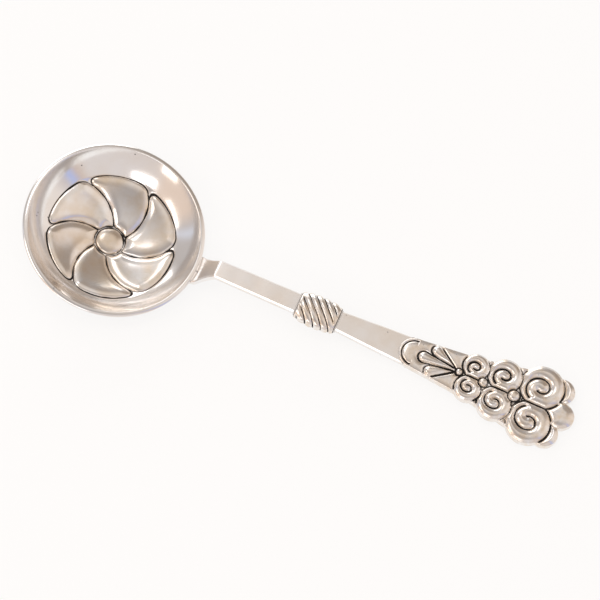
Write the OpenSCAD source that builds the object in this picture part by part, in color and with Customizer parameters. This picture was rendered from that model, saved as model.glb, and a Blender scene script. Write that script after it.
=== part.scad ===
// Silver serving spoon: a round raised bowl, a flat stem whose bent neck is soldered to the rim,
// a gadrooned collar threaded on the stem, and a scrolled terminal lapped over the stem's end.
// It lies as it would on a table: +X runs from the bowl to the terminal, +Z is up, and the
// origin is the middle of its footprint at table height. All sizes are in millimetres.

/* [Bowl] */
// Outside diameter of the bowl at its rim
bowl_d = 65; // [58:1:76]
// Outside depth of the bowl, from the middle of the lip to the bottom
bowl_depth = 13.2; // [12:0.1:17]
// Radius of the bowl's side, measured on its section
side_r = 16; // [12:0.5:19]
// Slope of the side where it reaches the rim, from level
rim_slope = 63.5; // [52:0.5:72]
// Thickness of the bowl's sheet
sheet_t = 1.2; // [0.8:0.1:1.8]
// Thickness of the rounded lip
lip_t = 1.6; // [1.2:0.1:2.4]
// Angle by which the tip of the bowl is raised as the spoon lies
bowl_tilt = 12.5; // [6:0.5:18]

/* [Rosette] */
// Diameter of the rosette raised in the bowl
rosette_d = 46; // [36:1:48]
// Number of whirling petals in the rosette
petal_count = 6; // [5:1:9]
// Diameter of the round boss in the middle of the rosette
boss_d = 10; // [6:0.5:14]
// Height of the petals above the sheet
petal_h = 1.1; // [0.6:0.1:1.4]
// Width of the step around each petal
petal_step = 1.3; // [0.8:0.1:1.6]
// Width of the grooves between the petals
groove_w = 0.8; // [0.4:0.1:1.2]

/* [Stem] */
// Height of the neck's ridge above the rim beside it
ridge_rise = 8.5; // [6:0.5:12]
// Length of the neck in plan, from the rim to the ridge
neck_run = 7.7; // [6:0.1:11]
// Depth below the rim at which the top of the neck meets the bowl
joint_drop = 0.3; // [0.2:0.1:0.8]
// Depth below the rim at which the underside of the neck meets the bowl
foot_drop = 4; // [3.4:0.1:5]
// Thickness of the neck just above its foot
foot_t = 2.1; // [1.8:0.1:2.6]
// Width of the neck where it meets the bowl
foot_w = 11.4; // [10:0.1:15]
// Width of the stem at the ridge
ridge_w = 6.8; // [5:0.1:9]
// Width of the stem where it passes through the collar
stem_w = 7.4; // [6:0.1:8.4]
// Width of the stem where the terminal starts
stem_end_w = 10.6; // [9:0.1:12]
// Thickness of the stem, and of the terminal's plate, which is flush with it
stem_t = 2.6; // [2.2:0.1:3.8]
// Length of the tongue that lies in the terminal
lap_l = 16; // [10:0.5:22]
// Width of the tongue that lies in the terminal
tongue_w = 6.4; // [4:0.1:8]

/* [Collar] */
// Distance from the ridge to the middle of the collar
collar_at = 38.7; // [30:0.1:48]
// Length of the collar along the stem
collar_l = 15; // [10:0.5:19]
// Width of the collar across the stem
collar_w = 12.2; // [11.4:0.1:16]
// Thickness of the collar from its underside to its top
collar_t = 6.6; // [6.2:0.1:9]
// Number of slanting lobes round the collar
gadroon_count = 5; // [3:1:7]
// Slant of the lobes, from square across the stem
gadroon_slant = 38; // [20:1:50]
// Depth of the grooves between the lobes
gadroon_depth = 0.7; // [0.3:0.1:0.8]

/* [Terminal] */
// Distance from the ridge to the front of the terminal
terminal_at = 69.5; // [62:0.5:80]
// Length of the terminal
terminal_l = 65.6; // [62:0.1:76]
// Width across the largest pair of volutes
volutes_w = 30; // [27:0.5:34]
// Number of pairs of volutes
volute_pairs = 3; // [2:1:4]
// How many times larger each pair is than the pair before it
volute_growth = 1.28; // [1.2:0.01:1.4]
// Radius of the shell at the terminal's end
shell_r = 18.5; // [16:0.5:20]
// Number of flutes in the shell
flute_count = 3; // [3:2:5]
// Angle between neighbouring flutes
flute_pitch = 38; // [24:1:40]
// Length of the palmette behind the nose
palmette_l = 14; // [10:0.5:16]
// Height of the volutes, flutes and palmette above the plate
relief_h = 1.4; // [0.8:0.1:2]

/* [Solder] */
// Thickness of the solder between two pieces
solder_t = 0.15; // [0.1:0.05:0.3]
// Width of the solder that shows around a joint
solder_edge = 0.5; // [0.3:0.1:0.9]

/* [Hidden] */
$fn = 96;

silver = [0.83, 0.79, 0.76];
pale_silver = [0.87, 0.84, 0.81];
solder_grey = [0.74, 0.71, 0.68];
// Overshoot of cutting shapes past the faces that they cut
past = 1;

// Bowl: the base is part of a sphere and the side part of a torus, tangent to it,
// whose centre circle lies so far above the rim that the side ends at its slope
rim_r = bowl_d / 2;
side_x = rim_r - side_r * sin(rim_slope);
side_z = side_r * cos(rim_slope);
side_up = bowl_depth + side_z;
base_r = (side_x ^ 2 + side_up ^ 2 - side_r ^ 2) / (2 * (side_up - side_r));
base_z = base_r - bowl_depth;
bend_angle = atan2(side_x, base_z - side_z);
// Height of the middle of the rim when the tilted bowl touches the table
rim_mid_z = bowl_tilt <= bend_angle
    ? base_r - base_z * cos(bowl_tilt)
    : side_r + side_x * sin(bowl_tilt) - side_z * cos(bowl_tilt);

// Petals lie between arcs that pass through the middle of the rosette
whirl_spread = 1.12;
whirl_r = rosette_d / 4 / cos(180 / petal_count) * whirl_spread;

// Handle: the ridge stands off the rim, and the slope brings the end of the terminal's
// underside down to the table
ridge_x = rim_r * cos(bowl_tilt) + neck_run;
ridge_z = rim_mid_z - rim_r * sin(bowl_tilt) + ridge_rise;
handle_l = terminal_at + terminal_l;
handle_slope = asin(ridge_z / norm([handle_l, stem_t])) - atan2(stem_t, handle_l);

// Move that puts the origin in the middle of the length
low_x = -(rim_r - lip_t / 2) * cos(bowl_tilt) - lip_t / 2;
high_x = ridge_x + handle_l * cos(handle_slope);
centre_x = -(low_x + high_x) / 2;

// Neck: where its faces meet the bowl, and the flare of its sides
function wall_x(drop) = side_x + sqrt(side_r ^ 2 - (side_z + drop) ^ 2);
function bowl_to_table(p) = [
    p.x * cos(bowl_tilt) + p.y * sin(bowl_tilt),
    rim_mid_z - p.x * sin(bowl_tilt) + p.y * cos(bowl_tilt)
];
function table_to_handle(p) =
    let (d = p - [ridge_x, ridge_z])
    [d.x * cos(handle_slope) - d.y * sin(handle_slope), d.x * sin(handle_slope) + d.y * cos(handle_slope)];
function on_wall(drop, inset) = table_to_handle(bowl_to_table([wall_x(drop) - inset, -drop]));
neck_bite = 2 * sheet_t;
neck_top = on_wall(joint_drop, 0);
neck_low = on_wall(foot_drop, 0);
neck_bend = atan2(-neck_top.y, -neck_top.x);
neck_heel = neck_top + foot_t * [sin(neck_bend), -cos(neck_bend)];
flare = (foot_w - ridge_w) / 2;
flare_r = (neck_top.x ^ 2 + flare ^ 2) / (2 * flare);

// Collar: the sleeve's slot takes the stem and a film of solder
slot_w = stem_w + 2 * solder_t;
slot_t = stem_t + 2 * solder_t;
// Metal left beside and above the slot at the ends of the collar
collar_wall = 0.8;
collar_half = collar_l / 2;
side_sag = (collar_w - slot_w) / 2 - collar_wall;
side_arc_r = (collar_half ^ 2 + side_sag ^ 2) / (2 * side_sag);
crown_sag = (collar_t - slot_t) / 2 - collar_wall;
crown_r = (collar_half ^ 2 + crown_sag ^ 2) / (2 * crown_sag);
gadroon_step = collar_l / gadroon_count;

// Terminal: volutes grow towards the shell, each pair overlapping the next a little
nose_clear = 0.4;
nose_r = stem_end_w / 2 + nose_clear;
// Distance of a volute's middle from the axis, as a share of its radius
volute_spread = 0.88;
last_volute_r = volutes_w / 2 / (1 + volute_spread);
shell_u = terminal_l - shell_r;
// The largest volutes sit a little past the middle of the shell
last_volute_lead = 4;
// Share of its own reach by which a volute or scallop overlaps its neighbour
overlap = 0.06;
// Reach of the plate's flanks past the middle of a volute, as a share of its radius
flank_share = 0.75;
// Flat margin left on the plate around each raised form
margin = 0.6;
flute_r = (1 + overlap) * shell_r * sin(flute_pitch / 2) / (1 + sin(flute_pitch / 2));
// Where a flute starts, as a share of the shell's radius
flute_root = 0.4;
// Thickness of a flute beside its ball, as a share of the ball
flute_neck = 0.97;
// Size of the bead before each pair of volutes, as a share of theirs
bead_share = 0.28;
// Radii of the half circles of a volute's scroll, from its edge inwards, as shares of its own
scroll_arcs = [0.72, 0.4];
// Width of each half circle's groove, as a share of the one before it
scroll_taper = 0.75;
// Turn of the scrolls about the middle of their volutes
scroll_turn = 60;
// Height of the upright edge of a dome, and of the floor of the groove in it
dome_edge = 0.25;
scroll_floor = 0.4;
// Angle between the leaves of the palmette, their number, and their size as a share of its length
leaf_pitch = 26;
leaf_count = 3;
leaf_share = 0.13;
palmette_u = volute_u(0) - (1 + bead_share) * volute_r(0);
function volute_r(k) = last_volute_r / volute_growth ^ (volute_pairs - 1 - k);
function volute_u(k) = k == volute_pairs - 1
    ? shell_u + last_volute_lead
    : volute_u(k + 1) - (1 - overlap) * (volute_r(k) + volute_r(k + 1));
function volute_v(k) = volute_spread * volute_r(k);
function flank(k, side) = [volute_u(k), side * (volute_v(k) + flank_share * volute_r(k))];
function flute_angle(i) = (i - (flute_count - 1) / 2) * flute_pitch;
function scallop(i) = (shell_r - flute_r) * [cos(flute_angle(i)), sin(flute_angle(i))];

// Placement of pieces that are drawn about the middle of the rim, axis up
module in_bowl() {
    translate([centre_x, 0, rim_mid_z]) rotate([0, bowl_tilt, 0]) children();
}

// Placement of pieces that are drawn from the ridge along the top face of the stem
module in_handle() {
    translate([centre_x + ridge_x, 0, ridge_z]) rotate([0, handle_slope, 0]) children();
}

// Half section of the filled bowl from drop below the rim, grown outwards by grow
module bowl_section(grow, drop = 0) {
    intersection() {
        union() {
            intersection() {
                translate([0, base_z]) circle(base_r + grow);
                polygon([[0, base_z], [0, -base_r], [base_r * tan(bend_angle), base_z - base_r]]);
            }
            translate([side_x, side_z]) circle(side_r + grow);
        }
        translate([0, -bowl_depth - past]) square([rim_r + past, bowl_depth + past - drop]);
    }
}

// Filled bowl below the rim, grown outwards by grow
module bowl_form(grow) {
    rotate_extrude() bowl_section(grow);
}

// Outline of the rosette, drawn in by inset: whirling petals parted by grooves, and a boss
module rosette_outline(inset) {
    gap = groove_w / 2 + inset;
    circle(boss_d / 2 - inset);
    for (i = [0 : petal_count - 1]) {
        difference() {
            intersection() {
                circle(rosette_d / 2 - inset);
                rotate(i * 360 / petal_count) translate([whirl_r, 0]) circle(whirl_r - gap);
            }
            rotate((i + 1) * 360 / petal_count) translate([whirl_r, 0]) circle(whirl_r + gap);
            circle(boss_d / 2 + groove_w + inset);
        }
    }
}

// One step of the rosette: drawn in by inset, and h high above the sheet
module rosette_step(inset, h) {
    difference() {
        intersection() {
            bowl_form(-sheet_t / 2);
            translate([0, 0, -bowl_depth]) linear_extrude(bowl_depth) rosette_outline(inset);
        }
        bowl_form(-sheet_t - h);
    }
}

// Raised bowl with a rounded lip, and the rosette embossed in its base
module bowl() {
    color(silver) in_bowl() {
        rotate_extrude() {
            difference() {
                bowl_section(0, lip_t / 8);
                bowl_section(-sheet_t);
            }
            translate([rim_r - lip_t / 2, 0]) circle(lip_t / 2);
        }
        rosette_step(0, petal_h / 2);
        rosette_step(petal_step, petal_h);
    }
}

// Side view of the stem: a flat bar whose neck bends down to the bowl's wall
module stem_side() {
    bar_end = terminal_at + nose_r;
    polygon([
        [0, 0],
        [bar_end, 0],
        [bar_end, -stem_t],
        [stem_t * tan(neck_bend / 2), -stem_t],
        neck_heel,
        neck_low,
        on_wall(foot_drop, neck_bite),
        on_wall(joint_drop, neck_bite),
        neck_top
    ]);
}

// Plan of the stem: flared neck, bar that widens to the terminal, rounded seat for its nose
module stem_plan() {
    foot_x = on_wall(foot_drop, neck_bite).x - past;
    seat = collar_half + 2 * solder_edge;
    bar_end = terminal_at + nose_r;
    difference() {
        translate([foot_x, -foot_w / 2]) square([-foot_x, foot_w]);
        for (side = [-1, 1]) translate([0, side * (ridge_w / 2 + flare_r)]) circle(flare_r);
    }
    difference() {
        for (side = [0, 1]) mirror([0, side]) {
            polygon([
                [0, 0],
                [bar_end, 0],
                [bar_end, stem_end_w / 2],
                [terminal_at, stem_end_w / 2],
                [collar_at + seat, stem_w / 2],
                [collar_at - seat, stem_w / 2],
                [0, ridge_w / 2]
            ]);
        }
        translate([terminal_at + nose_r, 0]) circle(nose_r + solder_t);
    }
}

// Tongue at the end of the stem, grown on every side by grow
module tongue(grow) {
    start = terminal_at - nose_r;
    translate([start, -tongue_w / 2 - grow, -stem_t - grow])
        cube([terminal_at + lap_l + grow - start, tongue_w + 2 * grow, stem_t / 2 + 2 * grow]);
}

// Flat stem with its bent neck, cut to the bowl's wall, and its tongue
module stem() {
    color(pale_silver) {
        difference() {
            in_handle() intersection() {
                rotate([90, 0, 0]) linear_extrude(foot_w + 2 * past, center = true) stem_side();
                translate([0, 0, -bowl_depth * 2]) linear_extrude(bowl_depth * 2 + past) stem_plan();
            }
            in_bowl() bowl_form(solder_t);
        }
        in_handle() tongue(0);
    }
}

// Crowned sleeve about the middle of the collar, shrunk on every side by inset
module collar_form(inset) {
    intersection() {
        rotate([0, 90, 0]) cylinder(r = collar_w / 2 - inset, h = collar_l, center = true);
        linear_extrude(collar_t, center = true) intersection_for(side = [-1, 1]) {
            translate([0, side * (side_arc_r - collar_w / 2)]) circle(side_arc_r - inset);
        }
        translate([0, 0, collar_t / 2 - crown_r]) sphere(crown_r - inset);
        translate([0, 0, crown_r - collar_t / 2]) sphere(crown_r - inset);
    }
}

// Gadrooned collar, slotted for the stem
module collar() {
    color(silver) in_handle() translate([collar_at, 0, -stem_t / 2]) difference() {
        union() {
            collar_form(gadroon_depth);
            difference() {
                collar_form(0);
                for (i = [1 : gadroon_count - 1]) {
                    translate([-collar_half + i * gadroon_step, 0, 0]) rotate(gadroon_slant)
                        cube([groove_w, 2 * collar_w, 2 * collar_t], center = true);
                }
            }
        }
        cube([collar_l + 2 * past, slot_w, slot_t], center = true);
    }
}

// Outline of the terminal from the nose to the scalloped edge of the shell
module terminal_outline() {
    last = volute_pairs - 1;
    translate([nose_r, 0]) circle(nose_r);
    polygon([
        [nose_r, -nose_r],
        for (k = [0 : last]) flank(k, -1),
        for (k = [0 : last]) flank(last - k, 1),
        [nose_r, nose_r]
    ]);
    for (k = [0 : last], side = [-1, 1]) translate([volute_u(k), side * volute_v(k)]) circle(volute_r(k));
    translate([shell_u, 0]) {
        polygon([[0, 0], for (i = [0 : flute_count - 1]) scallop(i)]);
        for (i = [0 : flute_count - 1]) translate(scallop(i)) circle(flute_r);
    }
}

// Low dome of the given radius and height, with an upright edge and a root below the plate's face
module dome(r, h) {
    rise = h - dome_edge;
    dome_r = (r ^ 2 + rise ^ 2) / (2 * rise);
    intersection() {
        translate([0, 0, h - dome_r]) sphere(dome_r);
        translate([0, 0, -stem_t / 2]) cylinder(r = r, h = stem_t / 2 + h + past);
    }
}

// One flute or leaf, lying along X: a cone that swells towards its end, which is a ball
module flute(root_x, ball_x, ball_r) {
    translate([0, 0, relief_h - ball_r]) {
        translate([root_x, 0, 0]) rotate([0, 90, 0])
            cylinder(r1 = flute_root * flute_neck * ball_r, r2 = flute_neck * ball_r, h = ball_x - root_x);
        translate([ball_x, 0, 0]) sphere(ball_r);
    }
}

// Flutes of the shell at the end of the terminal
module shell() {
    translate([shell_u, 0, 0]) for (i = [0 : flute_count - 1]) rotate(flute_angle(i))
        flute(flute_root * shell_r, shell_r - flute_r, (1 - overlap) * flute_r - margin);
}

// Leaves of the palmette, which point to the nose, the middle one the longest
module palmette() {
    leaf_r = leaf_share * palmette_l;
    translate([palmette_u, 0, 0]) for (i = [0 : leaf_count - 1]) {
        turn = (i - (leaf_count - 1) / 2) * leaf_pitch;
        rotate(180 + turn) flute(2 * leaf_r, palmette_l * cos(turn) ^ 2 - leaf_r, leaf_r);
    }
}

// Plan of a volute's scroll: half circles that start where the last one ends, each narrower
module scroll(r) {
    function start(i) = i == 0 ? -r : start(i - 1) + (i % 2 == 0 ? -2 : 2) * r * scroll_arcs[i - 1];
    for (i = [0 : len(scroll_arcs) - 1]) {
        way = i % 2 == 0 ? 1 : -1;
        arc_r = r * scroll_arcs[i];
        half_w = groove_w / 2 * scroll_taper ^ i;
        lap = i == 0 ? 0 : half_w;
        translate([start(i) + way * arc_r, 0]) difference() {
            intersection() {
                circle(arc_r + half_w);
                translate([-r, way > 0 ? -lap : -r]) square([2 * r, r + lap]);
            }
            circle(arc_r - half_w);
        }
    }
}

// Scrolled terminal: a plate with a palmette, paired volutes, beads between them and a fluted shell
module terminal() {
    color(silver) in_handle() difference() {
        translate([terminal_at, 0, 0]) {
            translate([0, 0, -stem_t]) linear_extrude(stem_t) terminal_outline();
            for (k = [0 : volute_pairs - 1]) {
                for (side = [-1, 1]) {
                    translate([volute_u(k), side * volute_v(k), 0])
                        dome((1 - overlap) * volute_r(k) - margin, relief_h);
                }
                translate([volute_u(k) - volute_r(k), 0, 0]) dome(bead_share * volute_r(k), relief_h);
            }
            intersection() {
                union() {
                    shell();
                    palmette();
                }
                translate([0, -shell_r - past, -stem_t / 2]) cube([terminal_l, 2 * (shell_r + past), 2 * stem_t]);
            }
        }
        tongue(solder_t);
        for (k = [0 : volute_pairs - 1], side = [0, 1]) mirror([0, side, 0])
            translate([terminal_at + volute_u(k), volute_v(k), scroll_floor]) rotate(scroll_turn)
                linear_extrude(relief_h) scroll((1 - overlap) * volute_r(k) - margin - groove_w);
    }
}

// Film of solder between the neck's foot and the bowl, with an edge that shows
module bowl_solder() {
    color(solder_grey) in_bowl() difference() {
        intersection() {
            bowl_form(solder_t);
            translate([side_x, -foot_w / 2 - solder_edge, -foot_drop - solder_edge])
                cube([side_r + past, foot_w + 2 * solder_edge, foot_drop + solder_edge - lip_t / 2]);
        }
        bowl_form(0);
    }
}

// Sleeve of solder between the stem and the collar, with an edge that shows at each end
module collar_solder() {
    color(solder_grey) in_handle() translate([collar_at, 0, -stem_t / 2]) difference() {
        cube([collar_l + 2 * solder_edge, slot_w, slot_t], center = true);
        cube([collar_l + 2 * solder_edge + past, stem_w, stem_t], center = true);
    }
}

// Film of solder on the tongue, and round the nose of the terminal
module terminal_solder() {
    color(solder_grey) in_handle() {
        intersection() {
            translate([terminal_at, -tongue_w / 2, -stem_t / 2]) cube([lap_l, tongue_w, solder_t]);
            translate([terminal_at, 0, -stem_t]) linear_extrude(stem_t) terminal_outline();
        }
        difference() {
            intersection() {
                translate([terminal_at + nose_r, 0, -stem_t / 2]) cylinder(r = nose_r + solder_t, h = stem_t / 2);
                translate([terminal_at - past, -stem_end_w / 2, -stem_t])
                    cube([nose_r + past, stem_end_w, 2 * stem_t]);
            }
            translate([terminal_at, 0, -stem_t]) linear_extrude(2 * stem_t) terminal_outline();
        }
    }
}

bowl();
stem();
collar();
terminal();
bowl_solder();
collar_solder();
terminal_solder();
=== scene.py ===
"""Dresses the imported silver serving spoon: a chased bowl, a bent stem, a gadrooned collar and a
scrolled terminal, on a pale floor in soft studio light.

The sizes repeat the driving dimensions of the solids. Shapes are worked out in millimetres, in the
frame of the bowl or of the handle, and go into the meshes in metres.
"""
import math
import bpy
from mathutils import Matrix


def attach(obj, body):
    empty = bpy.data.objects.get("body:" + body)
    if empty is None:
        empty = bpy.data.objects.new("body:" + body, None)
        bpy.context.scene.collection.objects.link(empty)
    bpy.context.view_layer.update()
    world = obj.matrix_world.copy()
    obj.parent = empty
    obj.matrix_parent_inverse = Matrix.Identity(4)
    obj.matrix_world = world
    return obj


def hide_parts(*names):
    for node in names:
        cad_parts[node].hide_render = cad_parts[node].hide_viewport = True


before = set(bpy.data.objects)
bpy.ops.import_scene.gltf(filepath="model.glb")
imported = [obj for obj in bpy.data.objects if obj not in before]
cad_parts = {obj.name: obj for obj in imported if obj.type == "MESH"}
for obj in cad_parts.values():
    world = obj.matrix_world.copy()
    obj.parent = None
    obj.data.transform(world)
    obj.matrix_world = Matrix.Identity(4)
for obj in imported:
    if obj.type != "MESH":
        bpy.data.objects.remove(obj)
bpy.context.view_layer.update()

from types import SimpleNamespace

import bmesh
import bpy
import numpy as np
from mathutils import Matrix, Vector

bl_info = {
    "name": "Silver serving spoon",
    "version": (1, 0, 0),
    "blender": (4, 5, 0),
    "location": "View3D > Sidebar > Spoon",
    "description": "Builds the visible surfaces, finishes and stage of a silver serving spoon",
    "category": "Add Mesh",
}

MM = 0.001
# Distance in metres under which points of a seam or a pole are one
WELD = 1e-7
# Points at which the spacing of a graded row is summed
GRADE_SAMPLES = 4001
IMAGE_PX = 600
SENSOR_MM = 36.0


def linear(hex_code):
    """Linear colour with alpha of an sRGB hex value such as "C8BEB4"."""
    parts = [int(hex_code[i:i + 2], 16) / 255 for i in (0, 2, 4)]
    return tuple(c / 12.92 if c <= 0.04045 else ((c + 0.055) / 1.055) ** 2.4 for c in parts) + (1.0,)


def length(name, millimetres, description):
    """Length property with its default in millimetres."""
    return bpy.props.FloatProperty(
        name=name, description=description, default=millimetres * MM, min=0.0, precision=4, unit="LENGTH")


def angle(name, degrees, description):
    """Angle property with its default in degrees."""
    return bpy.props.FloatProperty(
        name=name, description=description, default=math.radians(degrees), subtype="ANGLE")


def count(name, default, description):
    """Whole number property."""
    return bpy.props.IntProperty(name=name, description=description, default=default, min=1)


def colour(name, hex_code, description):
    """Colour property with its default as an sRGB hex value."""
    return bpy.props.FloatVectorProperty(
        name=name, description=description, default=linear(hex_code), size=4, subtype="COLOR",
        min=0.0, max=1.0)


class SpoonSizes(bpy.types.PropertyGroup):
    """Sizes of the spoon, the same as those of its solids"""

    bowl_d: length("Bowl diameter", 65, "Outside diameter of the bowl at its rim")
    bowl_depth: length("Bowl depth", 13.2, "Outside depth from the middle of the lip to the bottom")
    side_r: length("Side radius", 16, "Radius of the bowl's side, measured on its section")
    rim_slope: angle("Rim slope", 63.5, "Slope of the side where it reaches the rim, from level")
    sheet_t: length("Sheet", 1.2, "Thickness of the bowl's sheet")
    lip_t: length("Lip", 1.6, "Thickness of the rounded lip")
    bowl_tilt: angle("Bowl tilt", 12.5, "Angle by which the tip of the bowl is raised")
    rosette_d: length("Rosette diameter", 46, "Diameter of the rosette raised in the bowl")
    petal_count: count("Petals", 6, "Number of whirling petals in the rosette")
    boss_d: length("Boss diameter", 10, "Diameter of the boss in the middle of the rosette")
    petal_h: length("Petal height", 1.1, "Height of the petals above the sheet")
    ridge_rise: length("Ridge rise", 8.5, "Height of the neck's ridge above the rim beside it")
    neck_run: length("Neck run", 7.7, "Length of the neck in plan, from the rim to the ridge")
    joint_drop: length("Joint drop", 0.3, "Depth below the rim at which the neck's top meets the bowl")
    foot_drop: length("Foot drop", 4, "Depth below the rim at which the neck's underside meets the bowl")
    foot_t: length("Foot thickness", 2.1, "Thickness of the neck just above its foot")
    foot_w: length("Foot width", 11.4, "Width of the neck where it meets the bowl")
    ridge_w: length("Ridge width", 6.8, "Width of the stem at the ridge")
    stem_w: length("Stem width", 7.4, "Width of the stem in the collar")
    stem_end_w: length("Stem end width", 10.6, "Width of the stem where the terminal starts")
    stem_t: length("Stem thickness", 2.6, "Thickness of the stem and of the terminal's plate")
    collar_at: length("Collar place", 38.7, "Distance from the ridge to the middle of the collar")
    collar_l: length("Collar length", 15, "Length of the collar along the stem")
    collar_w: length("Collar width", 12.2, "Width of the collar across the stem")
    collar_t: length("Collar thickness", 6.6, "Thickness of the collar from underside to top")
    gadroon_count: count("Gadroons", 5, "Number of slanting lobes along the collar")
    gadroon_slant: angle("Gadroon slant", 38, "Slant of the lobes, from square across the stem")
    gadroon_depth: length("Gadroon depth", 0.7, "Depth of the grooves between the lobes")
    terminal_at: length("Terminal place", 69.5, "Distance from the ridge to the front of the terminal")
    terminal_l: length("Terminal length", 65.6, "Length of the terminal")
    volutes_w: length("Volutes width", 30, "Width across the largest pair of volutes")
    volute_pairs: count("Volute pairs", 3, "Number of pairs of volutes")
    volute_growth: bpy.props.FloatProperty(
        name="Volute growth", description="How many times larger each pair is than the last", default=1.28)
    shell_r: length("Shell radius", 18.5, "Radius of the shell at the terminal's end")
    flute_count: count("Flutes", 3, "Number of flutes in the shell")
    flute_pitch: angle("Flute pitch", 38, "Angle between neighbouring flutes")
    palmette_l: length("Palmette length", 14, "Length of the palmette behind the nose")
    relief_h: length("Relief", 1.4, "Height of the volutes, flutes and palmette above the plate")


class SpoonFinish(bpy.types.PropertyGroup):
    """Colours of the spoon's metals"""

    silver: colour("Silver", "F6F4F3", "Clean polished silver")
    warm_silver: colour("Tarnished silver", "EBDCCA", "Silver with a first breath of tarnish")
    oxide: colour("Oxide", "1C1715", "Dark oxide left in the grooves")
    solder: colour("Solder", "C2BCB6", "Silver solder at the joints")


class SpoonStage(bpy.types.PropertyGroup):
    """Camera, floor and light around the spoon"""

    camera_turn: angle("Camera turn", 23.04, "Turn of the camera about the vertical, towards the handle")
    camera_lift: angle("Camera lift", 65.88, "Height of the camera above the floor, as an angle")
    camera_distance: length("Camera distance", 1000, "Distance from the camera to the point it looks at")
    px_per_mm: bpy.props.FloatProperty(
        name="Image scale", default=2.858,
        description="Pixels that a millimetre takes at the camera's distance")
    floor: colour("Floor", "F6F1EC", "Pale warm floor under the spoon")
    lamp_level: bpy.props.FloatProperty(
        name="Lamp level", default=1.6,
        description="Brightness of the lamps, where 1 is the white of the floor")


def spoon_layout(sizes):
    """Sizes in millimetres and radians, with the places that they fix by the rules of the solids.

    The bowl's base is a sphere and its side a torus tangent to it, whose circle is centred above the rim.
    The handle runs from the ridge, and slopes until the end of the terminal's back is on the floor."""
    s = SimpleNamespace()
    for name, prop in sizes.bl_rna.properties.items():
        if name not in ("rna_type", "name"):
            value = getattr(sizes, name)
            setattr(s, name, value / MM if prop.unit == "LENGTH" else value)
    s.rim_r = s.bowl_d / 2
    s.side_x = s.rim_r - s.side_r * math.sin(s.rim_slope)
    s.side_z = s.side_r * math.cos(s.rim_slope)
    side_up = s.bowl_depth + s.side_z
    s.base_r = (s.side_x ** 2 + side_up ** 2 - s.side_r ** 2) / (2 * (side_up - s.side_r))
    s.base_z = s.base_r - s.bowl_depth
    s.bend = math.atan2(s.side_x, s.base_z - s.side_z)
    rim_mid_z = s.base_r - s.base_z * math.cos(s.bowl_tilt)
    ridge_x = s.rim_r * math.cos(s.bowl_tilt) + s.neck_run
    ridge_z = rim_mid_z - s.rim_r * math.sin(s.bowl_tilt) + s.ridge_rise
    handle_l = s.terminal_at + s.terminal_l
    s.slope = math.asin(ridge_z / math.hypot(handle_l, s.stem_t)) - math.atan2(s.stem_t, handle_l)
    low_x = -(s.rim_r - s.lip_t / 2) * math.cos(s.bowl_tilt) - s.lip_t / 2
    high_x = ridge_x + handle_l * math.cos(s.slope)
    centre_x = -(low_x + high_x) / 2
    s.bowl_origin = np.array([centre_x, 0.0, rim_mid_z])
    s.ridge_origin = np.array([centre_x + ridge_x, 0.0, ridge_z])
    return s


def turned(points, turn, origin):
    """Points turned about Y, from +Z towards +X, and then moved to the origin."""
    x, y, z = np.moveaxis(points, -1, 0)
    cos, sin = math.cos(turn), math.sin(turn)
    return np.stack([x * cos + z * sin, y, z * cos - x * sin], axis=-1) + origin


def unturned(points, turn, origin):
    """The reverse of turned."""
    x, y, z = np.moveaxis(points - origin, -1, 0)
    cos, sin = math.cos(turn), math.sin(turn)
    return np.stack([x * cos - z * sin, y, z * cos + x * sin], axis=-1)


def graded(low, high, steps, centres, width, gain):
    """Values from low to high, 1 + gain times closer together within about a width of the centres."""
    fine = np.linspace(low, high, GRADE_SAMPLES)
    density = 1 + gain * sum(np.exp(-((fine - centre) / width) ** 2) for centre in centres)
    travel = np.concatenate([[0], np.cumsum((density[1:] + density[:-1]) / 2)])
    return np.interp(np.linspace(0, travel[-1], steps + 1), travel, fine)


def swell(distance, width):
    """Pillow's rise from 0 at its edge to 1 at the width and beyond: 1 less the cube of the way to go."""
    return 1 - (1 - np.clip(distance / width, 0, 1)) ** 3


def bell(distance, width):
    """Bell curve of a groove: 1 on its line, nearly 0 at twice the width."""
    return np.exp(-(distance / width) ** 2)


def smooth(value, low, high):
    """Eased step from 0 at low to 1 at high."""
    t = np.clip((value - low) / (high - low), 0, 1)
    return t * t * (3 - 2 * t)


def grid_faces(rows, columns):
    """Corner numbers of the faces of a grid of points numbered row by row."""
    index = np.arange(rows * columns).reshape(rows, columns)
    corners = [index[:-1, :-1], index[:-1, 1:], index[1:, 1:], index[1:, :-1]]
    return np.stack(corners, axis=-1).reshape(-1, 4)


def lay_piece(name, points, patina, material, tarnish=1.0, crease=None):
    """Mesh object from a grid of points in millimetres, with each point's oxide and tarnish.

    Points that coincide, at seams and poles, are welded, and the faces are turned outwards."""
    rows, columns = points.shape[:2]
    faces = grid_faces(rows, columns)
    mesh = bpy.data.meshes.new(name)
    mesh.vertices.add(rows * columns)
    mesh.vertices.foreach_set("co", (points * MM).astype(np.float32).ravel())
    mesh.loops.add(faces.size)
    mesh.loops.foreach_set("vertex_index", faces.astype(np.int32).ravel())
    mesh.polygons.add(len(faces))
    mesh.polygons.foreach_set("loop_start", np.arange(0, faces.size, 4, dtype=np.int32))
    mesh.update(calc_edges=True)
    for label, share in (("patina", patina), ("tarnish", tarnish)):
        shade = mesh.attributes.new(label, "FLOAT", "POINT")
        shade.data.foreach_set("value", np.broadcast_to(share, (rows, columns)).astype(np.float32).ravel())
    welded = bmesh.new()
    welded.from_mesh(mesh)
    bmesh.ops.remove_doubles(welded, verts=welded.verts[:], dist=WELD)
    bmesh.ops.recalc_face_normals(welded, faces=welded.faces[:])
    welded.to_mesh(mesh)
    welded.free()
    mesh.shade_smooth()
    if crease is not None:
        mesh.set_sharp_from_angle(angle=crease)
    mesh.materials.append(material)
    piece = bpy.data.objects.new(name, mesh)
    bpy.context.collection.objects.link(piece)
    return piece


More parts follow.
